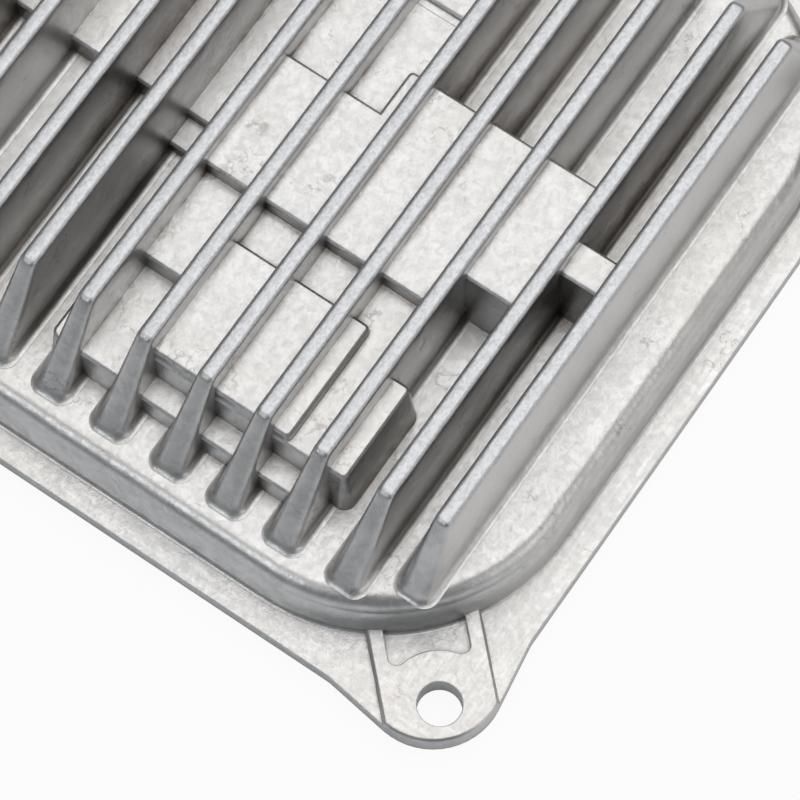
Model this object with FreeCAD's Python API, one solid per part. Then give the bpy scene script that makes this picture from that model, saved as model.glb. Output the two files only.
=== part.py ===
import FreeCAD, Part
import math
import os

V = FreeCAD.Vector

# Die cast housing: an aluminium heat-sink cover in one casting.
# Millimetres, +Z up, origin at the centre of the flat mounting rim (Z = 0).
# X runs along the cooling fins, Y across them.

# --- body and flange -------------------------------------------------------
BODY_HALF_X = 41.5          # foot of the side wall, half length
BODY_HALF_Y = 48.95         # foot of the side wall, half width
BODY_CORNER_R = 21.1        # corner radius at the foot of the wall
FLANGE_W = 3.1              # flange width outside the wall
FLANGE_T = 2.2              # flange thickness
DECK_Z = 8.7                # height of the deck the fins stand on
WALL_DRAFT = 5.0            # draft of the outer wall, degrees
SHOULDER_R = 1.9            # rounding between wall and deck
SHOULDER_STEPS = 5          # strips that make up that rounding
CAST_T = 2.2                # general wall thickness of the casting
CAVITY_DRAFT = 2.0          # draft of the inside faces, degrees
CAVITY_CORNER_R = 1.6       # vertical corners of the pockets inside

# --- corner ears -----------------------------------------------------------
HOLE_D = 4.5                # clearance hole for an M4 screw
HOLE_OUT = 8.0              # hole centre outside the arc of the wall foot
EAR_R = 7.2                 # outer rounding of the ear
EAR_SHIFT = 3.5             # ear rounding centre, inward of the hole
EAR_RAISE = 0.8             # ear face above the flange
PAD_HALF = 5.7              # half width of the raised pad and its arms
PAD_EDGE = 0.25             # softened top edge of the pad
ARM_W = 1.6                 # width of the two arms that run to the wall
BOSS_R = 5.45               # rounded land kept about the hole
RELIEF_START = 4.6          # outer end of the relief, inward of the hole
RELIEF_CORNER_R = 0.8       # corners of the relief between the arms
FLARE_START = 8.1           # where the flange starts to flare, from the ear

# --- fins ------------------------------------------------------------------
FIN_H = 10.4                # fin height above the deck
FIN_TOP_W = 1.65            # width of the fin crest
FIN_DRAFT = 4.5             # draft of the fin flanks, degrees
FIN_TOP_HALF = 30.8         # half length of the crest
FIN_BASE_HALF = 38.35       # half length at the deck
FIN_END_R = 1.3             # plan rounding of the fin ends at the deck
FIN_CREST_R = 0.6           # plan rounding of the fin ends at the crest
OUTER_FIN_CUT = 3.0         # shorter base of the two outermost fins
OUTER_CREST_CUT = 0.7       # shorter crest of the two outermost fins
FIN_Y_FIRST = -41.0         # centre line of the first fin
FIN_PITCHES = (6.05, 7.35, 6.7, 6.7, 7.15, 7.0, 6.85, 6.3, 8.0, 6.85, 7.0, 6.05)
CREST_R = 0.3               # softened edges of the crest
CREST_STEPS = 2             # strips that make up that rounding
ROOT_W = 0.45               # flare at the foot of the fin flanks

# --- raised blocks over the component pockets ------------------------------
BLOCK_DRAFT = 5.5           # draft of the block faces, degrees
BLOCK_CORNER_R = 1.3        # plan rounding of the block corners at the foot
BLOCK_EDGE_R = 0.3          # broken top edges of the blocks
MIN_CORNER_R = 0.3          # smallest plan rounding kept
CORNER_FLATS = 4            # short flats that make up a small rounding
TALL_H = 8.8                # tall block above the deck
BRIDGE_H = 8.5              # short bridge between the first two fins
SMALL_H = 7.7               # small block beside the main block
FAR_H = 7.7                 # low part behind the tall block
BANK_H = 8.2                # bank behind that low part
MAIN_H = 6.9                # main block above the deck
PLATE_H = 8.1               # plate on the main block, above the deck
STEP_H = 3.0                # low step at the front of the main block
SIDE_STEP_H = 4.6           # its taller continuation at the left
FLOOR_H = 2.6               # raised deck at the left
LANE_H = 1.4                # first rise of that deck
TALL_NEAR_X = -12.1         # near side of the tall block
TALL_FAR_X = 1.9            # far side left of the notch
NOTCH_X = 7.3               # far side right of the notch
NOTCH_Y = -12.0             # side of the notch
WING_CUT = 4.4              # wing stands back from the near side
BRIDGE_W = 4.0              # width of the bridge
FAR_X = 14.3                # far side of the low part
BANK_GAP = 0.6              # offset of the bank from it
MAIN_NEAR_X = -31.0         # near side of the main block
MAIN_LEFT_X = -22.8         # near side where it is cut back at the left
MAIN_FAR_X = -10.0          # far side, inside the tall block
PLATE_LEDGE = 0.3           # ledge in front of the plate
PLATE_FAR_X = -16.9         # far side of the plate
PLATE_Y = -23.8             # right side of the plate
STEP_NEAR_X = -34.0         # near side of the low steps
SIDE_STEP_W = 2.3           # side step past the seventh fin
SMALL_FAR_X = -19.8         # far side of the small block
SMALL_W = 2.95              # width of the small block
DECK_NEAR_X = -6.7          # near side of the raised deck
DECK_FAR_X = 24.0           # far side of the raised deck
LANE_NEAR_X = -10.1         # near side of the first rise
INSIDE = 0.6                # block side just inside a fin
POCKETS = ("tall", "tall_far", "main", "far_low", "far_bank", "raised_deck")


def fin_lines():
    """Centre lines of all fins, first to last."""
    lines = [FIN_Y_FIRST]
    for pitch in FIN_PITCHES:
        lines.append(lines[-1] + pitch)
    return lines


FIN_Y = fin_lines()


def round_rect(x0, x1, y0, y1, r, z, flats=0):
    """Closed rounded rectangle at height z; corners are arcs or short flats."""
    corners = [(x1 - r, y0 + r, -90), (x1 - r, y1 - r, 0),
               (x0 + r, y1 - r, 90), (x0 + r, y0 + r, 180)]
    edges = []
    for index, (cx, cy, start) in enumerate(corners):
        turns = flats or 2
        points = []
        for step in range(turns + 1):
            angle = math.radians(start + 90.0 * step / turns)
            points.append(V(cx + r * math.cos(angle), cy + r * math.sin(angle), z))
        if flats:
            edges += [Part.LineSegment(p, q).toShape() for p, q in zip(points, points[1:])]
        else:
            edges.append(Part.Arc(*points).toShape())
        cx, cy, start = corners[(index + 1) % 4]
        angle = math.radians(start)
        following = V(cx + r * math.cos(angle), cy + r * math.sin(angle), z)
        edges.append(Part.LineSegment(points[-1], following).toShape())
    return Part.Wire(edges)


def edge_levels(height, draft, radius, steps):
    """Pairs (height, extra inset) that round the top edge of a drafted side."""
    first = math.radians(draft)
    levels = []
    for step in range(steps + 1):
        angle = first + (math.pi / 2 - first) * step / steps
        levels.append((height - radius + radius * math.sin(angle),
                       radius * (math.cos(first) - math.cos(angle))))
    return levels


def drafted_block(x0, x1, y0, y1, r, z0, z1, draft, edge_r=0.0, steps=1, flats=0):
    """Rounded block whose size at the foot is given and narrows upward."""
    slope = math.tan(math.radians(draft))
    levels = edge_levels(z1, draft, edge_r, steps) if edge_r else [(z1, 0.0)]
    start = (levels[0][0] - z0) * slope
    wires = [round_rect(x0, x1, y0, y1, r, z0, flats)]
    for z, extra in levels:
        i = start + extra
        wires.append(round_rect(x0 + i, x1 - i, y0 + i, y1 - i, max(r - i, MIN_CORNER_R), z, flats))
    return Part.makeLoft(wires, True, True)


def top_edges(shape, z, tolerance=1e-4):
    """Edges of a shape that lie in the plane Z = z."""
    found = []
    for edge in shape.Edges:
        box = edge.BoundBox
        if abs(box.ZMin - z) < tolerance and abs(box.ZMax - z) < tolerance:
            found.append(edge)
    return found


# Ear frame of the corner at -X -Y: the arc centre of the wall foot, the hole
# and the rounding centre of the ear all lie on the diagonal of the corner.
ARC_X = BODY_HALF_X - BODY_CORNER_R
ARC_Y = BODY_HALF_Y - BODY_CORNER_R
DIAGONAL = math.sqrt(0.5)
HOLE_REACH = (BODY_CORNER_R + HOLE_OUT) * DIAGONAL
HOLE_X = ARC_X + HOLE_REACH
HOLE_Y = ARC_Y + HOLE_REACH
EAR_X = HOLE_X - EAR_SHIFT * DIAGONAL
EAR_Y = HOLE_Y - EAR_SHIFT * DIAGONAL
FLANGE_HALF_X = BODY_HALF_X + FLANGE_W
FLANGE_HALF_Y = BODY_HALF_Y + FLANGE_W


def mirrored(shape):
    """The shape with its mirror images in all four corners."""
    o = V(0, 0, 0)
    across = shape.mirror(o, V(1, 0, 0))
    pair = [shape, across]
    return pair + [s.mirror(o, V(0, 1, 0)) for s in pair]


def tangent_point(px, py, cx, cy, r, side):
    """Where the tangent from a point meets a circle."""
    reach = math.hypot(px - cx, py - cy)
    heading = math.atan2(py - cy, px - cx)
    turn = math.acos(r / reach) * side
    return V(cx + r * math.cos(heading + turn), cy + r * math.sin(heading + turn), 0)


def flange_flare(thickness):
    """Square flange corner that swells smoothly into the round of the ear."""
    long_edge = V(EAR_X - FLARE_START, FLANGE_HALF_Y, 0)
    short_edge = V(FLANGE_HALF_X, EAR_Y - FLARE_START, 0)
    t1 = tangent_point(long_edge.x, long_edge.y, EAR_X, EAR_Y, EAR_R, -1)
    t2 = tangent_point(short_edge.x, short_edge.y, EAR_X, EAR_Y, EAR_R, 1)
    tip = V(EAR_X + EAR_R * DIAGONAL, EAR_Y + EAR_R * DIAGONAL, 0)
    inner = V(ARC_X, ARC_Y, 0)
    outline = [
        Part.LineSegment(inner, V(ARC_X, FLANGE_HALF_Y, 0)).toShape(),
        Part.LineSegment(V(ARC_X, FLANGE_HALF_Y, 0), long_edge).toShape(),
        Part.LineSegment(long_edge, t1).toShape(),
        Part.Arc(t1, tip, t2).toShape(),
        Part.LineSegment(t2, short_edge).toShape(),
        Part.LineSegment(short_edge, V(FLANGE_HALF_X, ARC_Y, 0)).toShape(),
        Part.LineSegment(V(FLANGE_HALF_X, ARC_Y, 0), inner).toShape(),
    ]
    return Part.Face(Part.Wire(outline)).extrude(V(0, 0, thickness))


def along_diagonal(shape):
    """Place a shape drawn at the origin, +X outward, on the corner hole."""
    shape.rotate(V(0, 0, 0), V(0, 0, 1), 45)
    shape.translate(V(HOLE_X, HOLE_Y, 0))
    return shape


def ear_pad():
    """Raised face of the ear with its two arms and the relief between."""
    top = FLANGE_T + EAR_RAISE
    back = (BODY_CORNER_R + HOLE_OUT) / 2.0
    bar = Part.makeBox(back + EAR_R, 2 * PAD_HALF, top, V(-back, -PAD_HALF, 0))
    pad = along_diagonal(bar).common(flange_flare(top))
    rim = [e for e in top_edges(pad, top) if e.BoundBox.XMax > ARC_X + back * DIAGONAL]
    pad = pad.makeChamfer(PAD_EDGE, rim)
    half = PAD_HALF - ARM_W
    relief = round_rect(-2 * back, -RELIEF_START, -half, half, RELIEF_CORNER_R, FLANGE_T)
    relief = Part.Face(relief).extrude(V(0, 0, 2 * EAR_RAISE))
    relief = relief.cut(Part.makeCylinder(BOSS_R, top, V(0, 0, 0)))
    return pad.cut(along_diagonal(relief))


def screw_hole():
    """Clearance hole through flange and ear."""
    deep = 2 * (FLANGE_T + EAR_RAISE)
    return along_diagonal(Part.makeCylinder(HOLE_D / 2.0, 2 * deep, V(0, 0, -deep)))


def body_shell():
    """Raised body with drafted wall and rounded shoulder, on its flange."""
    body = drafted_block(-BODY_HALF_X, BODY_HALF_X, -BODY_HALF_Y, BODY_HALF_Y,
                         BODY_CORNER_R, FLANGE_T, DECK_Z, WALL_DRAFT, SHOULDER_R, SHOULDER_STEPS)
    flange = round_rect(-FLANGE_HALF_X, FLANGE_HALF_X, -FLANGE_HALF_Y, FLANGE_HALF_Y,
                        BODY_CORNER_R + FLANGE_W, 0)
    flange = Part.Face(flange).extrude(V(0, 0, FLANGE_T))
    return body.fuse([flange] + mirrored(flange_flare(FLANGE_T))).removeSplitter()


def fin(y, crest_half, base_half):
    """One cooling fin with drafted flanks, sloping ends and a soft crest."""
    half_top = FIN_TOP_W / 2.0
    half_base = half_top + FIN_H * math.tan(math.radians(FIN_DRAFT))
    crest_z = DECK_Z + FIN_H
    wires = [round_rect(-base_half, base_half, y - half_base, y + half_base, FIN_END_R,
                        DECK_Z, CORNER_FLATS)]
    for z, i in edge_levels(crest_z, FIN_DRAFT, CREST_R, CREST_STEPS):
        wires.append(round_rect(i - crest_half, crest_half - i, y - half_top + i,
                                y + half_top - i, FIN_CREST_R - i, z, CORNER_FLATS))
    return Part.makeLoft(wires, True, True)


def fin_root(y, base_half):
    """Flared foot along both flanks of a fin."""
    half = FIN_TOP_W / 2.0 + FIN_H * math.tan(math.radians(FIN_DRAFT))
    profile = [
        V(0, y - half - ROOT_W, DECK_Z),
        V(0, y - half, DECK_Z + ROOT_W),
        V(0, y + half, DECK_Z + ROOT_W),
        V(0, y + half + ROOT_W, DECK_Z),
    ]
    face = Part.Face(Part.makePolygon(profile + profile[:1]))
    face.translate(V(FIN_END_R - base_half, 0, 0))
    return face.extrude(V(2 * (base_half - FIN_END_R), 0, 0))


def fins():
    """The whole row of fins; the outermost two follow the round corners."""
    row = []
    last = len(FIN_Y) - 1
    for index, y in enumerate(FIN_Y):
        outer = index in (0, last)
        crest = FIN_TOP_HALF - (OUTER_CREST_CUT if outer else 0.0)
        base = FIN_BASE_HALF - (OUTER_FIN_CUT if outer else 0.0)
        row.append(fin(y, crest, base))
        row.append(fin_root(y, base))
    return row


def block_table():
    """All raised blocks by name, as (x0, x1, y0, y1, height).

    Extents are those of the top face.  A side that meets a fin runs to the
    centre line of that fin, or stops just inside it at the seventh fin.
    """
    f = FIN_Y
    left = f[6] + INSIDE
    return {
        # over the large component, with its notch, wing and bridge
        "tall": (TALL_NEAR_X, TALL_FAR_X, f[2], left, TALL_H),
        "tall_far": (TALL_NEAR_X, NOTCH_X, f[2], NOTCH_Y, TALL_H),
        "tall_wing": (TALL_NEAR_X + WING_CUT, NOTCH_X, f[1], f[2], TALL_H),
        "bridge": (TALL_FAR_X - BRIDGE_W, TALL_FAR_X, f[0], f[1], BRIDGE_H),
        # behind it
        "far_low": (0.0, FAR_X, f[4], left, FAR_H),
        "far_bank": (FAR_X + BANK_GAP, DECK_FAR_X, f[4], left, BANK_H),
        # main block with its plate, steps and side block
        "main": (MAIN_NEAR_X, MAIN_FAR_X, f[2], f[5], MAIN_H),
        "main_left": (MAIN_LEFT_X, MAIN_FAR_X, f[5], left, MAIN_H),
        "plate": (MAIN_NEAR_X + PLATE_LEDGE, PLATE_FAR_X, PLATE_Y, f[5], PLATE_H),
        "low_step": (STEP_NEAR_X, MAIN_LEFT_X, f[2], f[5], STEP_H),
        "side_step": (STEP_NEAR_X, TALL_NEAR_X, f[5], f[6] + SIDE_STEP_W, SIDE_STEP_H),
        "small": (MAIN_NEAR_X, SMALL_FAR_X, f[2] - SMALL_W, f[2], SMALL_H),
        # raised deck at the left with its first rise
        "raised_deck": (DECK_NEAR_X, DECK_FAR_X, f[6], f[11], FLOOR_H),
        "lane_rise": (LANE_NEAR_X, 0.0, f[6], f[7], LANE_H),
    }


def blocks():
    """Solid blocks over the pockets, drafted outward toward the deck."""
    made = []
    for x0, x1, y0, y1, height in block_table().values():
        grow = height * math.tan(math.radians(BLOCK_DRAFT))
        made.append(drafted_block(x0 - grow, x1 + grow, y0 - grow, y1 + grow, BLOCK_CORNER_R,
                                  DECK_Z, DECK_Z + height, BLOCK_DRAFT, BLOCK_EDGE_R,
                                  1, CORNER_FLATS))
    return made


def cavity():
    """Hollow underside: main cavity plus a pocket under each large block."""
    roof = DECK_Z - CAST_T
    half_x = BODY_HALF_X - CAST_T
    half_y = BODY_HALF_Y - CAST_T
    hollows = [drafted_block(-half_x, half_x, -half_y, half_y, BODY_CORNER_R - CAST_T,
                             0, roof, CAVITY_DRAFT)]
    table = block_table()
    t = CAST_T
    for name in POCKETS:
        x0, x1, y0, y1, height = table[name]
        plan = round_rect(x0 + t, x1 - t, y0 + t, y1 - t, CAVITY_CORNER_R, 0)
        hollows.append(Part.Face(plan).extrude(V(0, 0, roof + height)))
    return hollows


def housing():
    """The complete casting as one solid."""
    solid = body_shell()
    solid = solid.fuse(mirrored(ear_pad()))
    solid = solid.fuse(fins() + blocks())
    solid = solid.cut(cavity())
    solid = solid.cut(mirrored(screw_hole()))
    return solid.removeSplitter()


os.makedirs("parts", exist_ok=True)
casting = housing()
casting.exportStep("parts/housing.step")
box = casting.BoundBox
print("solids", len(casting.Solids), "faces", len(casting.Faces), "valid", casting.isValid())
print("size", round(box.XLength, 2), round(box.YLength, 2), round(box.ZLength, 2))
print("volume cm3", round(casting.Volume / 1000.0, 2))
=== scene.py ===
import logging
import math
from dataclasses import dataclass, field
from enum import Enum
from typing import ClassVar

import bmesh
import bpy
from mathutils import Euler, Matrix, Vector, noise

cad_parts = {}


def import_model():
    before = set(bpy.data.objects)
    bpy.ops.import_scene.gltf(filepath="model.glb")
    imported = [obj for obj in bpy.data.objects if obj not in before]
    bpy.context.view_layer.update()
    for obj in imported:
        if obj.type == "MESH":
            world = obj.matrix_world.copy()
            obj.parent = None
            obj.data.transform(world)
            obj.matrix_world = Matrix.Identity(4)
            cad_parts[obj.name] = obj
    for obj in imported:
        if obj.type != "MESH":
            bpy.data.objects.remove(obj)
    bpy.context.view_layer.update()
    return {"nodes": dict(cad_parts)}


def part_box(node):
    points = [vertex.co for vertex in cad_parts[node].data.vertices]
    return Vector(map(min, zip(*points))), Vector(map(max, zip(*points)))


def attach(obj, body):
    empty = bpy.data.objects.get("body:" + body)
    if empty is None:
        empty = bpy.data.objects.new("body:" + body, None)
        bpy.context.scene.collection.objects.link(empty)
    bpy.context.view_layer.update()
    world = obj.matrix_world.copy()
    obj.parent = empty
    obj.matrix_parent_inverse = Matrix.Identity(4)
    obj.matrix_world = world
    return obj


MM = 0.001
FLANGE_TOP = 3.0 * MM
QUARTER_TURN = 90.0
COLOUR_MIX_INPUTS = (0, 6, 7)
COLOUR_MIX_OUTPUT = 2
WHITE = (1.0, 1.0, 1.0, 1.0)

log = logging.getLogger("housing")


class Tone(Enum):
    """Named colours of the raw casting, as linear red, green and blue; some stand in for painted
    shade, painted reflection and painted highlight.
    """

    SKIN = (0.72, 0.715, 0.705)
    DULL = (0.53, 0.525, 0.515)
    WARM = (0.62, 0.575, 0.535)
    # Painted reflection: bluish tone laid on faces that point toward -X, in place of the cool
    # surroundings they reflect.
    PAINTED_NEAR_REFLECTION = (0.60, 0.635, 0.675)
    # Painted shade: darker tone for upright faces, in place of the shade the lamps leave on them.
    PAINTED_FLANK_SHADE = (0.66, 0.655, 0.65)
    CREST = (0.58, 0.59, 0.605)
    PIT = (0.33, 0.335, 0.345)
    # Dark smudging colour that also stands in as painted shade in the fin gaps and on faces that point
    # toward -X.
    SMUDGE_AND_SHADE = (0.135, 0.115, 0.10)
    # Colour of the flow-mark veins, also used as painted shade in shut-in corners.
    VEIN_AND_CREVICE_SHADE = (0.16, 0.145, 0.13)
    # Brown tint mixed into the smudging and painted shade in the fin gaps.
    RUST_AND_SHADE = (0.22, 0.165, 0.125)
    # Brown stain colour, laid where the roots are shut in, so it is also painted crease shade.
    STAIN_AND_CREASE_SHADE = (0.13, 0.095, 0.075)
    # Bright metal for specks on the crests and for edges worn bright; on the edges it is also a
    # painted highlight.
    BRIGHT_AND_HIGHLIGHT = (0.92, 0.92, 0.92)


@dataclass(frozen=True)
class Pattern:
    """One fractal noise pattern: cells per metre, octaves, fineness and bend."""

    scale: float
    detail: float = 4.0
    roughness: float = 0.55
    distortion: float = 0.0


@dataclass(frozen=True)
class Span:
    """Limits of a smooth step and the results at them."""

    low: float
    high: float
    to_low: float = 0.0
    to_high: float = 1.0


@dataclass(frozen=True)
class GrainShape:
    """Patterns and limits of the cast grain."""

    fine: Pattern = Pattern(3600.0, 4.0, 0.65)
    leather: Pattern = Pattern(1300.0, 4.0, 0.6, 0.8)
    broad: Pattern = Pattern(330.0, 5.0, 0.62, 0.5)
    fine_share: float = 0.45
    coarse_share: float = 0.55
    mottle_share: float = 0.5
    mottle: Span = Span(0.38, 0.62)
    speck: Span = Span(0.58, 0.72)


@dataclass(frozen=True)
class StreakShape:
    """Patterns and limits of the brushed lines and of the pits on the crests."""

    lines: Pattern = Pattern(2600.0, 4.0, 0.6)
    along_x: tuple[float, float, float] = (0.06, 1.0, 1.0)
    along_y: tuple[float, float, float] = (1.0, 0.06, 1.0)
    end_start: float = 41.4 * MM
    lined: Span = Span(0.36, 0.64)
    pits: Pattern = Pattern(4200.0, 5.0, 0.75)
    pit_stretch: tuple[float, float, float] = (0.65, 1.0, 1.0)
    pitted: Span = Span(0.42, 0.66)


@dataclass(frozen=True)
class FlowShape:
    """Patterns and limits of the flow marks, the clouds and the grime."""

    bend: Pattern = Pattern(260.0, 5.0, 0.6)
    bend_middle: tuple[float, float, float] = (0.5, 0.5, 0.5)
    bend_reach: float = 7.0 * MM
    cells: Pattern = Pattern(130.0, 3.0, 0.5)
    cell_middle: float = 0.5
    width: float = 0.011
    gate: Pattern = Pattern(150.0, 3.0)
    gated: Span = Span(0.52, 0.62)
    cloud: Pattern = Pattern(60.0, 4.0)
    clouded: Span = Span(0.35, 0.68)
    grime: Pattern = Pattern(420.0, 5.0, 0.65)
    grime_stretch: tuple[float, float, float] = (0.35, 1.0, 0.7)
    grimed: Span = Span(0.38, 0.60)


@dataclass(frozen=True)
class WearShape:
    """Pattern and limits of the edges worn bright, which also carry a painted highlight."""

    samples: int = 6
    radius: float = 0.25 * MM
    turned: Span = Span(0.80, 0.995, 1.0, 0.0)
    breaks: Pattern = Pattern(2600.0, 4.0)
    broken: Span = Span(0.34, 0.60)


@dataclass(frozen=True)
class RecessShape:
    """How far and how closely the openness of a place is felt for."""

    samples: int = 8
    reach: float = 5.0 * MM


@dataclass(frozen=True)
class CastFinish:
    """Numbers that set how the raw aluminium skin looks."""

    metallic: float = 1.0
    roughness: Span = Span(0.3, 0.7, 0.27, 0.43)
    edge_radius: float = 0.20 * MM
    grain_height: float = 0.034 * MM
    ripple_height: float = 0.07 * MM
    crest_grain: float = 0.16
    crest_band: float = 0.45 * MM
    deck_band: float = 0.5 * MM
    flange_band: float = 0.2 * MM
    root_reach: float = 1.1 * MM
    recess_reach: float = 5.0 * MM
    # How steep a face must be to take the painted flank shade.
    upright: Span = Span(0.15, 0.45, 1.0, 0.0)
    # Faces that point toward -X take the painted cool reflection and the patchy painted shade on the
    # ends.
    forward: Span = Span(-0.75, -0.10, 0.60, 0.0)
    # Lets the smudging and painted shade in the gaps fade toward the open ends of the fins.
    inner: Span = Span(11.0 * MM, 27.0 * MM, 1.0, 0.25)
    # How shut in a place must be to take the smudging and painted shade between the fins.
    shut: Span = Span(0.32, 0.62, 1.0, 0.0)
    # How shut in a corner must be to take the painted corner shade.
    closed: Span = Span(0.10, 0.50, 0.80, 0.0)
    # How tight a root must be to take the brown stain and painted crease shade.
    rooted: Span = Span(0.45, 0.80, 0.60, 0.0)
    mottle_share: float = 0.60
    line_share: float = 0.55
    warm_share: float = 0.30
    top_share: float = 0.30
    grime_share: float = 0.55
    grime_base: float = 0.42
    # Share of the brown tint in the gap smudging and painted shade.
    rust_and_shade_share: float = 0.8
    # Strength of the patchy smudging and painted shade on faces that point toward -X.
    end_smudge_and_shade_share: float = 0.30
    pit_share: float = 0.50
    spark_share: float = 0.50
    vein_share: float = 0.45
    # Strength of the edges worn bright, which also serve as a painted highlight.
    wear_and_highlight_share: float = 0.35


class NodeBench:
    """Small helper that adds and links shader nodes in one tree."""

    def __init__(self, tree: bpy.types.NodeTree) -> None:
        """Keep the tree that nodes go into."""
        self.tree = tree

    def add(self, kind: str, **settings: object) -> bpy.types.Node:
        """Add a node and set its properties.

        Args:
            kind: Blender's node type name.
            settings: properties of the node, by name.

        Returns:
            The new node.
        """
        node = self.tree.nodes.new(kind)
        for key, value in settings.items():
            setattr(node, key, value)
        return node

    def link(self, source: bpy.types.NodeSocket, target: bpy.types.NodeSocket) -> None:
        """Join an output to an input."""
        self.tree.links.new(source, target)

    def fill(self, slot: bpy.types.NodeSocket, value: object) -> None:
        """Link a socket into a slot, or write a plain value on it.

        Args:
            slot: input to fill.
            value: socket, number or colour.
        """
        if isinstance(value, bpy.types.NodeSocket):
            self.link(value, slot)
        elif isinstance(value, tuple):
            slot.default_value = (*value, 1.0)
        else:
            slot.default_value = value

    def math(self, operation: str, a: object, b: object = None) -> bpy.types.NodeSocket:
        """A maths node on sockets or plain values.

        Args:
            operation: name of the operation.
            a: first socket or number.
            b: second socket or number, where the operation has one.

        Returns:
            The result socket.
        """
        node = self.add("ShaderNodeMath", operation=operation)
        self.fill(node.inputs[0], a)
        if b is not None:
            self.fill(node.inputs[1], b)
        return node.outputs[0]

    def times(self, first: object, *others: object) -> bpy.types.NodeSocket:
        """Product of two or more sockets or plain values.

        Args:
            first: first factor.
            others: the other factors, in order.

        Returns:
            The product.
        """
        for other in others:
            first = self.math("MULTIPLY", first, other)
        return first

    def vector(self, operation: str, a: bpy.types.NodeSocket, b: object) -> bpy.types.NodeSocket:
        """A vector maths node.

        Args:
            operation: name of the operation.
            a: first vector.
            b: second vector as a socket or as plain numbers.

        Returns:
            The resulting vector.
        """
        node = self.add("ShaderNodeVectorMath", operation=operation)
        self.link(a, node.inputs[0])
        if isinstance(b, bpy.types.NodeSocket):
            self.link(b, node.inputs[1])
        else:
            node.inputs[1].default_value = b
        return node.outputs[0]

    def ramp(self, source: bpy.types.NodeSocket, span: Span) -> bpy.types.NodeSocket:
        """Smooth step of a value between two limits.

        Args:
            source: value to map.
            span: the limits and the results at them.

        Returns:
            The mapped value.
        """
        node = self.add("ShaderNodeMapRange", interpolation_type="SMOOTHSTEP", clamp=True)
        self.link(source, node.inputs["Value"])
        node.inputs["From Min"].default_value = span.low
        node.inputs["From Max"].default_value = span.high
        node.inputs["To Min"].default_value = span.to_low
        node.inputs["To Max"].default_value = span.to_high
        return node.outputs["Result"]

    def mix(self, factor: object, a: object, b: object) -> bpy.types.NodeSocket:
        """Mix two colours.

        Args:
            factor: socket or number, 0 gives a and 1 gives b.
            a: first colour or socket.
            b: second colour or socket.

        Returns:
            The mixed colour.
        """
        node = self.add("ShaderNodeMix", data_type="RGBA")
        for index, value in zip(COLOUR_MIX_INPUTS, (factor, a, b)):
            self.fill(node.inputs[index], value)
        return node.outputs[COLOUR_MIX_OUTPUT]

    def fractal(self, where: bpy.types.NodeSocket, pattern: Pattern) -> bpy.types.Node:
        """Fractal noise node in the given coordinates.

        Args:
            where: coordinates in metres.
            pattern: the pattern to make.

        Returns:
            The noise node.
        """
        node = self.add("ShaderNodeTexNoise")
        self.link(where, node.inputs["Vector"])
        node.inputs["Scale"].default_value = pattern.scale
        node.inputs["Detail"].default_value = pattern.detail
        node.inputs["Roughness"].default_value = pattern.roughness
        node.inputs["Distortion"].default_value = pattern.distortion
        return node

    def noise(self, where: bpy.types.NodeSocket, pattern: Pattern) -> bpy.types.NodeSocket:
        """Value of fractal noise in the given coordinates.

        Args:
            where: coordinates in metres.
            pattern: the pattern to make.

        Returns:
            The noise value.
        """
        return self.fractal(where, pattern).outputs["Fac"]


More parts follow.
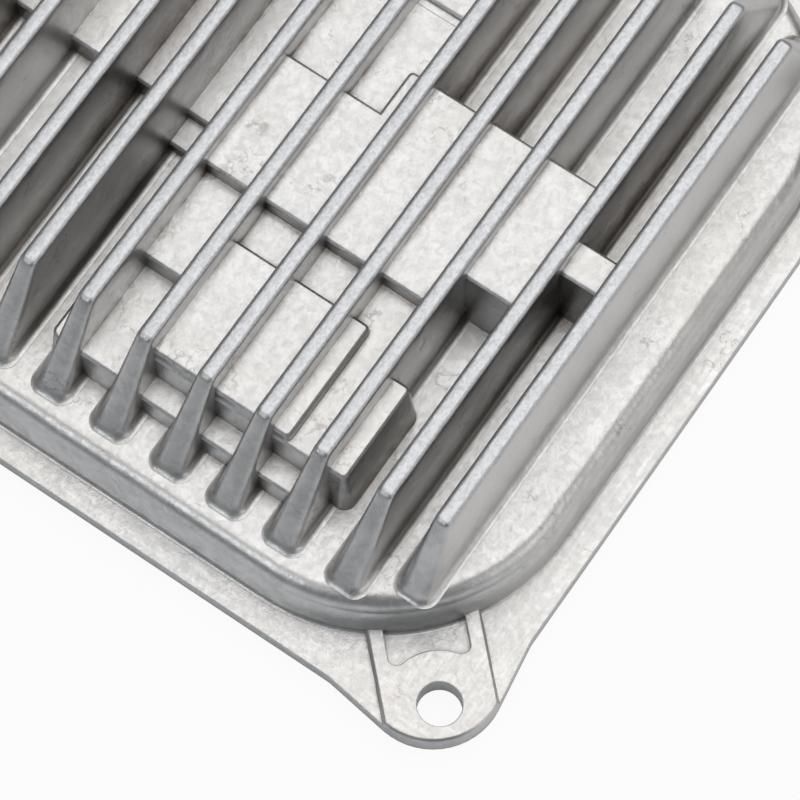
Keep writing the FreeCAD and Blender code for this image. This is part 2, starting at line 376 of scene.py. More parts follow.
class CastEffects:
    """Shared shader groups of the raw casting."""

    def __init__(self) -> None:
        """Build each group once."""
        self.grain = self._grain(GrainShape())
        self.streaks = self._streaks(StreakShape())
        self.flow = self._flow(FlowShape())
        self.wear = self._wear(WearShape())
        self.recess = self._recess(RecessShape())

    @staticmethod
    def _group(name: str, inputs: dict[str, float], outputs: dict[str, str]) -> tuple:
        """Start a group with a position input, named values and named outputs.

        Args:
            name: name of the group.
            inputs: value inputs and their defaults.
            outputs: outputs and their socket types.

        Returns:
            The tree, a bench for it, its input node and its output node.
        """
        tree = bpy.data.node_groups.new(name, "ShaderNodeTree")
        tree.interface.new_socket("Position", in_out="INPUT", socket_type="NodeSocketVector")
        for key, value in inputs.items():
            socket = tree.interface.new_socket(key, in_out="INPUT", socket_type="NodeSocketFloat")
            socket.default_value = value
        for key, kind in outputs.items():
            tree.interface.new_socket(key, in_out="OUTPUT", socket_type=kind)
        bench = NodeBench(tree)
        return tree, bench, bench.add("NodeGroupInput"), bench.add("NodeGroupOutput")

    def _grain(self, shape: GrainShape) -> bpy.types.NodeTree:
        """Fine mottled grain of the cast skin.

        Args:
            shape: patterns and limits.

        Returns:
            The shared group.
        """
        tree, bench, given, out = self._group(
            "cast grain", {},
            {"Grain": "NodeSocketFloat", "Mottle": "NodeSocketFloat", "Speck": "NodeSocketFloat"})
        where = given.outputs["Position"]
        fine = bench.noise(where, shape.fine)
        leather = bench.noise(where, shape.leather)
        broad = bench.noise(where, shape.broad)
        both = bench.math("ADD", bench.times(fine, shape.fine_share),
                          bench.times(leather, shape.coarse_share))
        mottle = bench.math("ADD", bench.times(leather, shape.mottle_share),
                            bench.times(broad, shape.mottle_share))
        bench.link(both, out.inputs["Grain"])
        bench.link(bench.ramp(mottle, shape.mottle), out.inputs["Mottle"])
        bench.link(bench.ramp(fine, shape.speck), out.inputs["Speck"])
        return tree

    def _streaks(self, shape: StreakShape) -> bpy.types.NodeTree:
        """Fine lines, along X everywhere and along Y on the two end flanges.

        Args:
            shape: patterns and limits.

        Returns:
            The shared group.
        """
        tree, bench, given, out = self._group(
            "streaks", {"End Start": shape.end_start},
            {"Along": "NodeSocketFloat", "Crest": "NodeSocketFloat"})
        where = given.outputs["Position"]
        split = bench.add("ShaderNodeSeparateXYZ")
        bench.link(where, split.inputs[0])
        side, end = (bench.noise(bench.vector("MULTIPLY", where, stretch), shape.lines)
                     for stretch in (shape.along_x, shape.along_y))
        at_end = bench.math("GREATER_THAN", bench.math("ABSOLUTE", split.outputs["X"]),
                            given.outputs["End Start"])
        along = bench.math("ADD", side, bench.times(bench.math("SUBTRACT", end, side), at_end))
        bench.link(bench.ramp(along, shape.lined), out.inputs["Along"])
        pits = bench.noise(bench.vector("MULTIPLY", where, shape.pit_stretch), shape.pits)
        bench.link(bench.ramp(pits, shape.pitted), out.inputs["Crest"])
        return tree

    def _flow(self, shape: FlowShape) -> bpy.types.NodeTree:
        """Hairline flow marks where the metal met itself in the mould.

        Args:
            shape: patterns and limits.

        Returns:
            The shared group.
        """
        tree, bench, given, out = self._group(
            "flow marks", {"Width": shape.width},
            {"Vein": "NodeSocketFloat", "Cloud": "NodeSocketFloat", "Grime": "NodeSocketFloat"})
        where = given.outputs["Position"]
        bend = bench.fractal(where, shape.bend).outputs["Color"]
        centred = bench.vector("SUBTRACT", bend, shape.bend_middle)
        scaled = bench.add("ShaderNodeVectorMath", operation="SCALE")
        bench.link(centred, scaled.inputs[0])
        scaled.inputs["Scale"].default_value = shape.bend_reach
        moved = bench.vector("ADD", where, scaled.outputs[0])
        offset = bench.math("ABSOLUTE", bench.math("SUBTRACT", bench.noise(moved, shape.cells),
                                                   shape.cell_middle))
        line = bench.math("SUBTRACT", 1.0, bench.math("DIVIDE", offset, given.outputs["Width"]))
        gate = bench.ramp(bench.noise(where, shape.gate), shape.gated)
        bench.link(bench.times(bench.math("MAXIMUM", line, 0.0), gate), out.inputs["Vein"])
        bench.link(bench.ramp(bench.noise(moved, shape.cloud), shape.clouded), out.inputs["Cloud"])
        drawn = bench.vector("MULTIPLY", moved, shape.grime_stretch)
        bench.link(bench.ramp(bench.noise(drawn, shape.grime), shape.grimed), out.inputs["Grime"])
        return tree

    def _wear(self, shape: WearShape) -> bpy.types.NodeTree:
        """Mask of the edges that are worn bright and also carry a painted highlight.

        Args:
            shape: pattern and limits.

        Returns:
            The shared group.
        """
        tree, bench, given, out = self._group(
            "edge wear", {"Radius": shape.radius},
            {"Wear": "NodeSocketFloat", "Normal": "NodeSocketVector"})
        bevel = bench.add("ShaderNodeBevel", samples=shape.samples)
        bench.link(given.outputs["Radius"], bevel.inputs["Radius"])
        geometry = bench.add("ShaderNodeNewGeometry")
        dot = bench.add("ShaderNodeVectorMath", operation="DOT_PRODUCT")
        bench.link(bevel.outputs["Normal"], dot.inputs[0])
        bench.link(geometry.outputs["Normal"], dot.inputs[1])
        turned = bench.ramp(dot.outputs["Value"], shape.turned)
        broken = bench.ramp(bench.noise(given.outputs["Position"], shape.breaks), shape.broken)
        bench.link(bench.times(turned, broken), out.inputs["Wear"])
        bench.link(bevel.outputs["Normal"], out.inputs["Normal"])
        return tree

    def _recess(self, shape: RecessShape) -> bpy.types.NodeTree:
        """How open a place is, from shut-in corners to free faces.

        Args:
            shape: reach and samples.

        Returns:
            The shared group.
        """
        tree, bench, given, out = self._group(
            "recess", {"Reach": shape.reach}, {"Open": "NodeSocketFloat"})
        shade = bench.add("ShaderNodeAmbientOcclusion", samples=shape.samples)
        bench.link(given.outputs["Reach"], shade.inputs["Distance"])
        bench.link(shade.outputs["AO"], out.inputs["Open"])
        return tree


@dataclass(frozen=True)
class MetalSources:
    """Placed groups and masks that the metal is mixed from."""

    grain: bpy.types.Node
    flow: bpy.types.Node
    wear: bpy.types.Node
    recess: bpy.types.Node
    root: bpy.types.Node
    lines: bpy.types.Node
    upright: bpy.types.NodeSocket
    # Faces that point toward -X; they take the painted reflection and painted shade.
    forward: bpy.types.NodeSocket
    inner: bpy.types.NodeSocket
    crest: bpy.types.NodeSocket
    raised: bpy.types.NodeSocket
    flange: bpy.types.NodeSocket


@dataclass
class CastMetal:
    """Raw die cast aluminium."""

    effects: CastEffects
    crest_height: float
    deck_height: float
    flange_height: float
    finish: CastFinish = field(default_factory=CastFinish)

    def build(self) -> bpy.types.Material:
        """Make the material.

        Returns:
            The finished material.
        """
        metal = bpy.data.materials.new("cast aluminium")
        metal.use_nodes = True
        metal.node_tree.nodes.clear()
        bench = NodeBench(metal.node_tree)
        sources = self._sources(bench)
        colour = self._skin(bench, sources)
        colour = self._soil(bench, sources, colour)
        colour = self._crests(bench, sources, colour)
        colour = self._marks(bench, sources, colour)
        surface = bench.add("ShaderNodeBsdfPrincipled")
        surface.inputs["Metallic"].default_value = self.finish.metallic
        bench.link(colour, surface.inputs["Base Color"])
        bench.link(bench.ramp(sources.grain.outputs["Grain"], self.finish.roughness),
                   surface.inputs["Roughness"])
        bench.link(self._relief(bench, sources), surface.inputs["Normal"])
        out = bench.add("ShaderNodeOutputMaterial")
        bench.link(surface.outputs["BSDF"], out.inputs["Surface"])
        return metal

    def _use(self, bench: NodeBench, group: bpy.types.NodeTree, where: bpy.types.NodeSocket,
             **values: float) -> bpy.types.Node:
        """Place a shared group, give it the position and set its values.

        Args:
            bench: bench of the material.
            group: shared group.
            where: position socket.
            values: numbers for the group's other inputs, by name.

        Returns:
            The group node.
        """
        node = bench.add("ShaderNodeGroup", node_tree=group)
        bench.link(where, node.inputs["Position"])
        for name, value in values.items():
            node.inputs[name].default_value = value
        return node

    def _sources(self, bench: NodeBench) -> MetalSources:
        """Place the groups and make the masks.

        Args:
            bench: bench of the material.

        Returns:
            All that the metal is mixed from.
        """
        finish, effects = self.finish, self.effects
        where = bench.add("ShaderNodeTexCoord").outputs["Object"]
        split = bench.add("ShaderNodeSeparateXYZ")
        bench.link(where, split.inputs[0])
        height = split.outputs["Z"]
        facing = bench.add("ShaderNodeSeparateXYZ")
        bench.link(bench.add("ShaderNodeNewGeometry").outputs["Normal"], facing.inputs[0])
        crest, deck, flange = self.crest_height, self.deck_height, self.flange_height
        return MetalSources(
            grain=self._use(bench, effects.grain, where),
            flow=self._use(bench, effects.flow, where),
            wear=self._use(bench, effects.wear, where, Radius=finish.edge_radius),
            recess=self._use(bench, effects.recess, where, Reach=finish.recess_reach),
            root=self._use(bench, effects.recess, where, Reach=finish.root_reach),
            lines=self._use(bench, effects.streaks, where),
            upright=bench.ramp(bench.math("ABSOLUTE", facing.outputs["Z"]), finish.upright),
            forward=bench.ramp(facing.outputs["X"], finish.forward),
            inner=bench.ramp(bench.math("ABSOLUTE", split.outputs["X"]), finish.inner),
            crest=bench.ramp(height, Span(crest - finish.crest_band, crest)),
            raised=bench.ramp(height, Span(deck - finish.deck_band, deck + finish.deck_band)),
            flange=bench.ramp(height, Span(flange, flange + finish.flange_band, 1.0, 0.0)),
        )

    def _skin(self, bench: NodeBench, sources: MetalSources) -> bpy.types.NodeSocket:
        """Plain skin: mottled, lined on the flange, duller on tops, with painted shade on upright
        flanks and a painted cool reflection on faces that point toward -X.

        Args:
            bench: bench of the material.
            sources: groups and masks.

        Returns:
            The colour.
        """
        finish = self.finish
        colour = bench.mix(bench.times(sources.grain.outputs["Mottle"], finish.mottle_share),
                           Tone.SKIN.value, Tone.DULL.value)
        lined = bench.times(sources.flange, sources.lines.outputs["Along"], finish.line_share)
        colour = bench.mix(lined, colour, Tone.DULL.value)
        warmed = bench.times(sources.flow.outputs["Cloud"], finish.warm_share)
        colour = bench.mix(warmed, colour, Tone.WARM.value)
        level = bench.math("SUBTRACT", 1.0, sources.upright)
        topped = bench.times(sources.raised, level, finish.top_share)
        colour = bench.mix(topped, colour, Tone.DULL.value)
        # Painted shade: upright faces take a darker flank tone.
        colour = bench.mix(sources.upright, colour, Tone.PAINTED_FLANK_SHADE.value)
        # Painted reflection: faces that point toward -X take a cool bluish tone.
        return bench.mix(sources.forward, colour, Tone.PAINTED_NEAR_REFLECTION.value)

    def _soil(self, bench: NodeBench, sources: MetalSources,
              colour: bpy.types.NodeSocket) -> bpy.types.NodeSocket:
        """Smudging with painted shade in the shut-in gaps between the fins, and patchy smudging with
        painted shade on faces that point toward -X.

        Args:
            bench: bench of the material.
            sources: groups and masks.
            colour: colour so far.

        Returns:
            The colour.
        """
        finish = self.finish
        grime = sources.flow.outputs["Grime"]
        # Painted shade with patchy smudging: upright faces in shut-in gaps above the deck are
        # darkened, most toward the middle of the fins.
        shut = bench.times(bench.ramp(sources.recess.outputs["Open"], finish.shut), sources.raised)
        patchy = bench.math("ADD", bench.times(grime, finish.grime_share), finish.grime_base)
        gap_smudge_and_shade = bench.times(bench.times(sources.upright, shut), bench.times(patchy, sources.inner))
        gap_smudge_and_shade_colour = bench.mix(bench.times(sources.flow.outputs["Cloud"], finish.rust_and_shade_share),
                         Tone.SMUDGE_AND_SHADE.value, Tone.RUST_AND_SHADE.value)
        colour = bench.mix(gap_smudge_and_shade, colour, gap_smudge_and_shade_colour)
        # Patchy smudging and painted shade on faces that point toward -X.
        end_smudge_and_shade = bench.times(bench.math("SUBTRACT", 1.0, grime), finish.end_smudge_and_shade_share, sources.forward)
        return bench.mix(end_smudge_and_shade, colour, Tone.SMUDGE_AND_SHADE.value)

    def _crests(self, bench: NodeBench, sources: MetalSources,
                colour: bpy.types.NodeSocket) -> bpy.types.NodeSocket:
        """Greyer crests with pits and bright specks.

        Args:
            bench: bench of the material.
            sources: groups and masks.
            colour: colour so far.

        Returns:
            The colour.
        """
        finish = self.finish
        colour = bench.mix(sources.crest, colour, Tone.CREST.value)
        pitted = bench.times(sources.crest, sources.lines.outputs["Crest"], finish.pit_share)
        colour = bench.mix(pitted, colour, Tone.PIT.value)
        spark = bench.times(sources.crest, sources.grain.outputs["Speck"], finish.spark_share)
        return bench.mix(spark, colour, Tone.BRIGHT_AND_HIGHLIGHT.value)

    def _marks(self, bench: NodeBench, sources: MetalSources,
               colour: bpy.types.NodeSocket) -> bpy.types.NodeSocket:
        """Flow marks, painted shade in shut-in corners, brown stains with painted crease shade at the
        roots, and edges worn bright that also carry a painted highlight.

        Args:
            bench: bench of the material.
            sources: groups and masks.
            colour: colour so far.

        Returns:
            The colour.
        """
        finish = self.finish
        below = bench.math("SUBTRACT", 1.0, sources.crest)
        vein = bench.times(sources.flow.outputs["Vein"], below, finish.vein_share)
        colour = bench.mix(vein, colour, Tone.VEIN_AND_CREVICE_SHADE.value)
        # Painted shade: shut-in corners above the deck are darkened with the vein colour.
        closed = bench.times(bench.ramp(sources.recess.outputs["Open"], finish.closed), sources.raised)
        colour = bench.mix(closed, colour, Tone.VEIN_AND_CREVICE_SHADE.value)
        # Brown stains and painted crease shade where the roots are shut in.
        root_stain_and_shade = bench.times(bench.ramp(sources.root.outputs["Open"], finish.rooted),
                              sources.flow.outputs["Grime"])
        colour = bench.mix(root_stain_and_shade, colour, Tone.STAIN_AND_CREASE_SHADE.value)
        # Edges worn bright, which also serve as a painted highlight.
        worn_edge_and_highlight = bench.times(sources.wear.outputs["Wear"], finish.wear_and_highlight_share)
        return bench.mix(worn_edge_and_highlight, colour, Tone.BRIGHT_AND_HIGHLIGHT.value)

    def _relief(self, bench: NodeBench, sources: MetalSources) -> bpy.types.NodeSocket:
        """Broad ripple of the skin with the grain on top.

        Args:
            bench: bench of the material.
            sources: groups and masks.

        Returns:
            The normal.
        """
        ripple = bench.add("ShaderNodeBump")
        ripple.inputs["Distance"].default_value = self.finish.ripple_height
        bench.link(sources.flow.outputs["Cloud"], ripple.inputs["Height"])
        bench.link(sources.wear.outputs["Normal"], ripple.inputs["Normal"])
        bump = bench.add("ShaderNodeBump")
        bump.inputs["Distance"].default_value = self.finish.grain_height
        crest_grain = bench.times(sources.crest, sources.lines.outputs["Crest"],
                                  self.finish.crest_grain)
        height = bench.math("ADD", sources.grain.outputs["Grain"], crest_grain)
        bench.link(height, bump.inputs["Height"])
        bench.link(ripple.outputs["Normal"], bump.inputs["Normal"])
        return bump.outputs["Normal"]


@dataclass
class Casting:
    """The housing as it comes from the mould."""

    node: bpy.types.Object
    metal: bpy.types.Material

    def dress(self) -> None:
        """Give the casting its raw metal skin."""
        self.node.data.materials.clear()
        self.node.data.materials.append(self.metal)
        log.info("casting dressed: %d faces", len(self.node.data.polygons))


@dataclass(frozen=True)
class FinRow:
    """Where the fins stand and how large they are."""

    first: float = -41.0 * MM
    pitches: tuple[float, ...] = (6.05, 7.35, 6.7, 6.7, 7.15, 7.0, 6.85, 6.3, 8.0, 6.85, 7.0, 6.05)
    deck: float = 8.7 * MM
    height: float = 10.4 * MM
    crest_width: float = 1.65 * MM
    draft: float = 4.5
    crest_half: float = 30.8 * MM
    base_half: float = 38.35 * MM
    end_radius: float = 1.3 * MM
    crest_radius: float = 0.6 * MM
    outer_crest_cut: float = 0.7 * MM
    outer_base_cut: float = 3.0 * MM

    def centres(self) -> list[float]:
        """Centre line of every fin, first to last.

        Returns:
            The Y of each fin in metres.
        """
        lines = [self.first]
        for pitch in self.pitches:
            lines.append(lines[-1] + pitch * MM)
        return lines

    def cuts(self, index: int) -> tuple[float, float]:
        """How much shorter a fin is at its crest and at its foot.

        Args:
            index: number of the fin, from 0.

        Returns:
            Cut of the crest and cut of the foot, at each end.
        """
        outer = index in (0, len(self.pitches))
        return (self.outer_crest_cut, self.outer_base_cut) if outer else (0.0, 0.0)


@dataclass(frozen=True)
class Unevenness:
    """How far a cast face strays from its true form."""

    reach: float
    cell: float
    decay: float
    spread: float = 2.0
    octaves: int = 3

    def at(self, spot: Vector) -> float:
        """Offset of the face at a point.

        Args:
            spot: point on the true form.

        Returns:
            How far the face stands out there.
        """
        wave = noise.fractal(spot / self.cell, self.decay, self.spread, self.octaves)
        return self.reach * max(-1.0, min(1.0, wave))


@dataclass(frozen=True)
class Ring:
    """One level of the fin skin."""

    height: float
    side_offset: float
    end_offset: float
    tilt: float


@dataclass
class FinSkin:
    """Cast skin on the fins: soft crests, filleted feet, slightly uneven faces."""

    row: FinRow
    metal: bpy.types.Material
    lift: float = 0.05 * MM
    side_fillet: float = 0.80 * MM
    end_fillet: float = 0.35 * MM
    crest_round: float = 0.38 * MM
    least_radius: float = 0.10 * MM
    side_points: int = 150
    corner_points: int = 5
    fillet_steps: int = 4
    flank_steps: int = 7
    flank: Unevenness = Unevenness(0.020 * MM, 2.2 * MM, 0.8)
    crest: Unevenness = Unevenness(0.022 * MM, 0.9 * MM, 0.8)

    def build(self) -> bpy.types.Object:
        """Build the skin of all fins as one piece.

        Returns:
            The new object.
        """
        mesh = bpy.data.meshes.new("fin_skin")
        shape = bmesh.new()
        for index, centre in enumerate(self.row.centres()):
            self._fin(shape, index, centre)
        bmesh.ops.recalc_face_normals(shape, faces=shape.faces)
        for face in shape.faces:
            face.smooth = True
        shape.to_mesh(mesh)
        shape.free()
        piece = bpy.data.objects.new("fin_skin", mesh)
        bpy.context.collection.objects.link(piece)
        mesh.materials.append(self.metal)
        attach(piece, "root")
        log.info("fin skin: %d faces", len(mesh.polygons))
        return piece

    def _rings(self) -> list[Ring]:
        """Levels from the filleted foot over the flank to the rounded crest.

        Returns:
            The rings from the lowest to the highest.
        """
        rings = []
        for step in range(self.fillet_steps + 1):
            angle = math.radians(QUARTER_TURN * step / self.fillet_steps)
            out = 1.0 - math.sin(angle)
            rise = self.side_fillet * (1.0 - math.cos(angle))
            tilt = math.radians(QUARTER_TURN) - angle
            rings.append(Ring(rise, self.side_fillet * out, self.end_fillet * out, tilt))
        start = self.side_fillet
        stop = self.row.height - self.crest_round
        for step in range(1, self.flank_steps + 1):
            rings.append(Ring(start + (stop - start) * step / self.flank_steps, 0.0, 0.0, 0.0))
        for step in range(1, self.fillet_steps + 1):
            angle = math.radians(QUARTER_TURN * step / self.fillet_steps)
            inset = -self.crest_round * (1.0 - math.cos(angle))
            rings.append(Ring(stop + self.crest_round * math.sin(angle), inset, inset, angle))
        return rings

    def _outline(self, half_x: float, half_y: float,
                 radius: float) -> list[tuple[float, float, float, float]]:
        """Rounded outline of a fin at one level.

        Args:
            half_x: half the length.
            half_y: half the width.
            radius: corner rounding.

        Returns:
            Points round the outline with the outward direction at each.
        """
        radius = min(radius, half_y)
        straight = half_x - radius
        points = []
        for side in (-1.0, 1.0):
            for step in range(self.side_points):
                x = side * straight * (1.0 - 2.0 * step / (self.side_points - 1))
                points.append((x, side * half_y, 0.0, side))
            for quarter in (0, 1):
                for step in range(1, self.corner_points + 1):
                    turn = math.radians(QUARTER_TURN * (quarter + step / (self.corner_points + 1)))
                    nx, ny = -side * math.sin(turn), side * math.cos(turn)
                    centre_y = side * (half_y - radius) * (1.0 if quarter == 0 else -1.0)
                    x = -side * straight + nx * radius
                    points.append((x, centre_y + ny * radius, nx, ny))
        return points

    def _fin(self, shape: bmesh.types.BMesh, index: int, centre: float) -> None:
        """Add the skin of one fin.

        Args:
            shape: mesh that is being built.
            index: number of the fin.
            centre: its centre line.
        """
        row = self.row
        crest_cut, base_cut = row.cuts(index)
        slope = math.tan(math.radians(row.draft))
        levels = []
        for ring in self._rings():
            down = 1.0 - ring.height / row.height
            half_x = (row.crest_half - crest_cut) * (1.0 - down) + (row.base_half - base_cut) * down
            half_y = row.crest_width / 2.0 + (row.height - ring.height) * slope
            radius = row.crest_radius * (1.0 - down) + row.end_radius * down
            outline = self._outline(half_x + ring.end_offset, half_y + ring.side_offset,
                                    max(radius + ring.end_offset, self.least_radius))
            levels.append([self._place(shape, point, ring, centre) for point in outline])
        for lower, upper in zip(levels, levels[1:]):
            count = len(lower)
            for i in range(count):
                j = (i + 1) % count
                shape.faces.new((lower[i], lower[j], upper[j], upper[i]))
        self._cap(shape, levels[-1], centre)

    def _place(self, shape: bmesh.types.BMesh, point: tuple[float, float, float, float],
               ring: Ring, centre: float) -> bmesh.types.BMVert:
        """Add one point of the skin, moved out a little by the unevenness.

        Args:
            shape: mesh that is being built.
            point: place in plan and outward direction.
            ring: level of the point.
            centre: centre line of the fin.

        Returns:
            The new vertex.
        """
        x, y, nx, ny = point
        spot = Vector((x, y + centre, self.row.deck + ring.height))
        top = ring.height > self.row.height - self.crest_round
        push = self.lift + (self.crest if top else self.flank).at(spot)
        flat = math.cos(ring.tilt)
        outward = Vector((nx * flat, ny * flat, math.sin(ring.tilt)))
        return shape.verts.new(spot + outward * push)

    def _cap(self, shape: bmesh.types.BMesh, top: list[bmesh.types.BMVert], centre: float) -> None:
        """Close the crest with a row of points along its middle.

        Args:
            shape: mesh that is being built.
            top: highest ring.
            centre: centre line of the fin.
        """
        count, corners = self.side_points, 2 * self.corner_points
        lift = Ring(self.row.height, 0.0, 0.0, math.radians(QUARTER_TURN))
        first = top[:count]
        second = list(reversed(top[count + corners:2 * count + corners]))
        middle = [self._place(shape, (vert.co.x, 0.0, 0.0, 0.0), lift, centre) for vert in first]
        for i in range(count - 1):
            shape.faces.new((first[i], first[i + 1], middle[i + 1], middle[i]))
            shape.faces.new((middle[i], middle[i + 1], second[i + 1], second[i]))
        far = [first[-1]] + top[count:count + corners] + [second[-1]]
        near = [second[0]] + top[2 * count + corners:] + [first[0]]
        for hub, rim in ((middle[-1], far), (middle[0], near)):
            for a, b in zip(rim, rim[1:]):
                shape.faces.new((a, b, hub))


@dataclass(frozen=True)
class BodyForm:
    """Outline and height of the raised body, at the foot of its wall."""

    half_x: float = 41.5 * MM
    half_y: float = 48.95 * MM
    corner: float = 21.1 * MM
    foot: float = 2.2 * MM
    deck: float = 8.7 * MM
    draft: float = 5.0
    shoulder: float = 1.9 * MM


@dataclass
class WallSkin:
    """Cast skin of the wall: smooth shoulder, a faint ledge and a filleted foot."""

    CORNERS: ClassVar[tuple[tuple[int, int, float], ...]] = (
        (1, -1, -90.0), (1, 1, 0.0), (-1, 1, 90.0), (-1, -1, 180.0))

    form: BodyForm
    metal: bpy.types.Material
    lift: float = 0.03 * MM
    ledge: float = 0.10 * MM
    ledge_drop: float = 0.20 * MM
    fillet: float = 0.45 * MM
    unevenness: Unevenness = Unevenness(0.014 * MM, 2.5 * MM, 0.9)
    ledge_start: float = 0.2
    skirt_sink: float = 2.0
    skirt: float = 1.8 * MM
    shoulder_steps: int = 12
    fillet_steps: int = 4
    side_points: int = 60
    corner_points: int = 26

    def build(self) -> bpy.types.Object:
        """Build the skin round the whole body.

        Returns:
            The new object.
        """
        rings = [self._ring(out, height, tilt) for out, height, tilt in self._profile()]
        count = len(rings[0])
        points = [point for ring in rings for point in ring]
        faces = []
        for level in range(len(rings) - 1):
            for i in range(count):
                j = (i + 1) % count
                low, high = level * count, (level + 1) * count
                faces.append((high + i, high + j, low + j, low + i))
        mesh = bpy.data.meshes.new("wall_skin")
        mesh.from_pydata(points, [], faces)
        mesh.shade_smooth()
        piece = bpy.data.objects.new("wall_skin", mesh)
        bpy.context.collection.objects.link(piece)
        mesh.materials.append(self.metal)
        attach(piece, "root")
        log.info("wall skin: %d faces", len(mesh.polygons))
        return piece

    def _profile(self) -> list[tuple[float, float, float]]:
        """Section of the wall from the deck down to the flange.

        Returns:
            Offset from the foot line, height and tilt of each point.
        """
        form = self.form
        slope = math.tan(math.radians(form.draft))
        centre = form.deck - form.shoulder
        first = math.radians(form.draft)
        start = (centre + form.shoulder * math.sin(first) - form.foot) * slope
        full = math.radians(QUARTER_TURN)
        top = start + form.shoulder * math.cos(first)
        points = [(-top - self.skirt, form.deck - self.skirt_sink * self.lift, full)]
        for step in range(self.shoulder_steps + 1):
            angle = full + (first - full) * step / self.shoulder_steps
            inset = start + form.shoulder * (math.cos(first) - math.cos(angle))
            points.append((-inset, centre + form.shoulder * math.sin(angle), angle))
        knee = points[-1][1] - self.ledge_drop
        points.append((self.ledge * self.ledge_start - (knee - form.foot) * slope, knee, first))
        knee -= self.ledge
        points.append((self.ledge - (knee - form.foot) * slope, knee, full / 2.0))
        for step in range(self.fillet_steps + 1):
            angle = full * step / self.fillet_steps
            height = form.foot + self.fillet * (1.0 - math.sin(angle))
            out = self.fillet * (1.0 - math.cos(angle))
            points.append((self.ledge - (height - form.foot) * slope + out, height, angle))
        return points

    def _ring(self, out: float, height: float, tilt: float) -> list[Vector]:
        """One level of the skin, counter-clockwise.

        Args:
            out: offset outward from the foot line.
            height: height above the floor.
            tilt: how far the outward direction is turned upward.

        Returns:
            The points of the level.
        """
        form = self.form
        radius = form.corner + out
        reach_x, reach_y = form.half_x - form.corner, form.half_y - form.corner
        turns = []
        for sx, sy, begin in self.CORNERS:
            for step in range(self.corner_points + 1):
                angle = math.radians(begin + QUARTER_TURN * step / self.corner_points)
                turns.append((sx * reach_x, sy * reach_y, angle))
        points = []
        for number, (cx, cy, angle) in enumerate(turns):
            here = Vector((cx + radius * math.cos(angle), cy + radius * math.sin(angle), height))
            points.append(self._uneven(here, angle, tilt))
            if (number + 1) % (self.corner_points + 1) == 0:
                nx, ny, na = turns[(number + 1) % len(turns)]
                there = Vector((nx + radius * math.cos(na), ny + radius * math.sin(na), height))
                for step in range(1, self.side_points):
                    spot = here.lerp(there, step / self.side_points)
                    points.append(self._uneven(spot, angle, tilt))
        return points

    def _uneven(self, spot: Vector, angle: float, tilt: float) -> Vector:
        """Move a point out by the lift and the unevenness of the casting.

        Args:
            spot: point on the true form.
            angle: heading of the outward direction.
            tilt: how far that direction is turned upward.

        Returns:
            The moved point.
        """
        flat = math.cos(tilt)
        outward = Vector((math.cos(angle) * flat, math.sin(angle) * flat, math.sin(tilt)))
        return spot + outward * (self.lift + self.unevenness.at(spot))


@dataclass
class BankWeb:
    """Thin web of metal that bridges the seam behind the low part."""

    row: FinRow
    metal: bpy.types.Material
    near: float = 13.9 * MM
    far: float = 15.3 * MM
    foot: float = 4.0 * MM
    top: float = 7.64 * MM
    fin_from: int = 4
    fin_to: int = 6

    def build(self) -> bpy.types.Object:
        """Build the web.

        Returns:
            The new object.
        """
        lines = self.row.centres()
        y0, y1 = lines[self.fin_from], lines[self.fin_to]
        z0, z1 = self.row.deck + self.foot, self.row.deck + self.top
        corners = [(x, y, z) for z in (z0, z1) for y in (y0, y1) for x in (self.near, self.far)]
        faces = [(0, 2, 3, 1), (4, 5, 7, 6), (0, 1, 5, 4), (2, 6, 7, 3), (0, 4, 6, 2), (1, 3, 7, 5)]
        mesh = bpy.data.meshes.new("bank_web")
        mesh.from_pydata(corners, [], faces)
        piece = bpy.data.objects.new("bank_web", mesh)
        bpy.context.collection.objects.link(piece)
        mesh.materials.append(self.metal)
        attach(piece, "root")
        log.info("bank web: %d faces", len(mesh.polygons))
        return piece


@dataclass(frozen=True)
class Softbox:
    """A square studio lamp aimed at the part."""

    name: str
    azimuth: float
    elevation: float
    distance: float
    side: float
    power: float

    def place(self, target: Vector) -> None:
        """Put the lamp in the scene.

        Args:
            target: point it is aimed at.
        """
        lamp = bpy.data.lights.new(self.name, "AREA")
        lamp.size = self.side
        lamp.energy = self.power
        holder = bpy.data.objects.new(self.name, lamp)
        bpy.context.collection.objects.link(holder)
        turn, tilt = math.radians(self.azimuth), math.radians(self.elevation)
        flat = math.cos(tilt)
        outward = Vector((math.cos(turn) * flat, math.sin(turn) * flat, math.sin(tilt)))
        holder.location = target + outward * self.distance
        holder.rotation_euler = outward.to_track_quat("Z", "Y").to_euler()


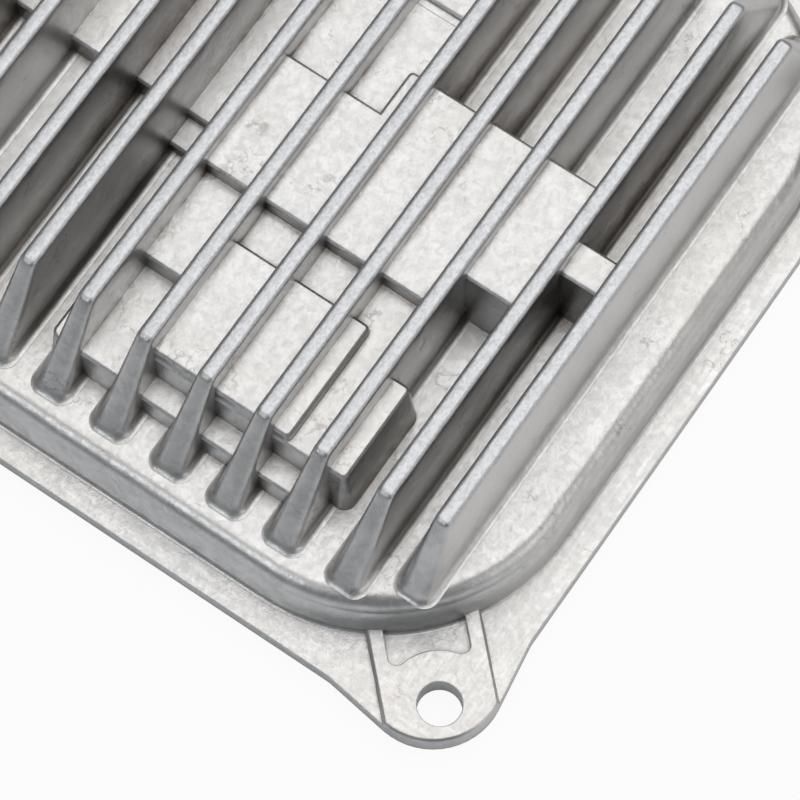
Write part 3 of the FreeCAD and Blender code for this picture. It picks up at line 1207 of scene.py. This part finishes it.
@dataclass
class Studio:
    """White sweep, soft lamps and an even surround."""

    target: Vector
    lamps: tuple[Softbox, ...] = (
        Softbox("key softbox", -5.0, 73.0, 0.9, 1.12, 5.1),
        Softbox("side softbox", -88.0, 24.0, 0.9, 0.6, 1.0),
        Softbox("front softbox", 164.0, 45.0, 0.9, 0.42, 0.9),
    )
    floor_half: float = 3.0
    floor_grey: tuple[float, float, float, float] = (0.92, 0.92, 0.92, 1.0)
    floor_roughness: float = 0.9
    floor_glow: float = 0.92
    surround: float = 0.205

    def build(self) -> None:
        """Place floor, lamps and surround."""
        self._floor()
        for lamp in self.lamps:
            lamp.place(self.target)
        self._surround()
        log.info("studio: floor and %d lamps", len(self.lamps))

    def _floor(self) -> None:
        """Pale floor on which the rim rests."""
        half = self.floor_half
        mesh = bpy.data.meshes.new("floor")
        corners = [(-half, -half, 0), (half, -half, 0), (half, half, 0), (-half, half, 0)]
        mesh.from_pydata(corners, [], [(0, 1, 2, 3)])
        floor = bpy.data.objects.new("floor", mesh)
        bpy.context.collection.objects.link(floor)
        paint = bpy.data.materials.new("white paper")
        paint.use_nodes = True
        bench = NodeBench(paint.node_tree)
        base = paint.node_tree.nodes["Principled BSDF"]
        base.inputs["Base Color"].default_value = self.floor_grey
        base.inputs["Roughness"].default_value = self.floor_roughness
        glow = bench.add("ShaderNodeEmission")
        glow.inputs["Color"].default_value = WHITE
        direct = bench.add("ShaderNodeLightPath")
        blend = bench.add("ShaderNodeMixShader")
        seen = bench.times(direct.outputs["Is Camera Ray"], self.floor_glow)
        bench.link(seen, blend.inputs["Fac"])
        bench.link(base.outputs["BSDF"], blend.inputs[1])
        bench.link(glow.outputs["Emission"], blend.inputs[2])
        surface = paint.node_tree.nodes["Material Output"].inputs["Surface"]
        bench.link(blend.outputs["Shader"], surface)
        mesh.materials.append(paint)

    def _surround(self) -> None:
        """Even light from all sides, white behind the part."""
        world = bpy.data.worlds.new("surround")
        bpy.context.scene.world = world
        world.use_nodes = True
        bench = NodeBench(world.node_tree)
        base = world.node_tree.nodes["Background"]
        base.inputs["Color"].default_value = WHITE
        direct = bench.add("ShaderNodeLightPath")
        strength = bench.math("MAXIMUM", direct.outputs["Is Camera Ray"], self.surround)
        bench.link(strength, base.inputs["Strength"])


@dataclass(frozen=True)
class Viewpoint:
    """Camera looking down at the near corner."""

    aim: tuple[float, float, float] = (-17.2 * MM, -27.45 * MM, 2.2 * MM)
    distance: float = 427.0 * MM
    elevation: float = 70.4
    heading: float = 55.54
    lens: float = 193.5
    clip_start: float = 0.01
    clip_end: float = 20.0

    def build(self) -> None:
        """Place the camera and make it the scene's own."""
        data = bpy.data.cameras.new("camera")
        data.lens = self.lens
        data.clip_start = self.clip_start
        data.clip_end = self.clip_end
        holder = bpy.data.objects.new("camera", data)
        bpy.context.collection.objects.link(holder)
        tilt = math.radians(QUARTER_TURN - self.elevation)
        holder.rotation_euler = Euler((tilt, 0.0, -math.radians(self.heading)))
        backward = holder.rotation_euler.to_matrix() @ Vector((0.0, 0.0, 1.0))
        holder.location = Vector(self.aim) + backward * self.distance
        bpy.context.scene.camera = holder


def main() -> None:
    """Load the frame and build the scene in order."""
    logging.basicConfig(level=logging.INFO)
    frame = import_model()
    low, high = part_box("housing")
    bpy.context.scene.view_settings.view_transform = "Standard"
    effects = CastEffects()
    row = FinRow()
    metal = CastMetal(effects, high.z, row.deck, FLANGE_TOP).build()
    Casting(frame["nodes"]["housing"], metal).dress()
    FinSkin(row, metal).build()
    WallSkin(BodyForm(), metal).build()
    BankWeb(row, metal).build()
    Studio(target=(low + high) / 2.0).build()
    Viewpoint().build()


if __name__ == "__main__":
    main()
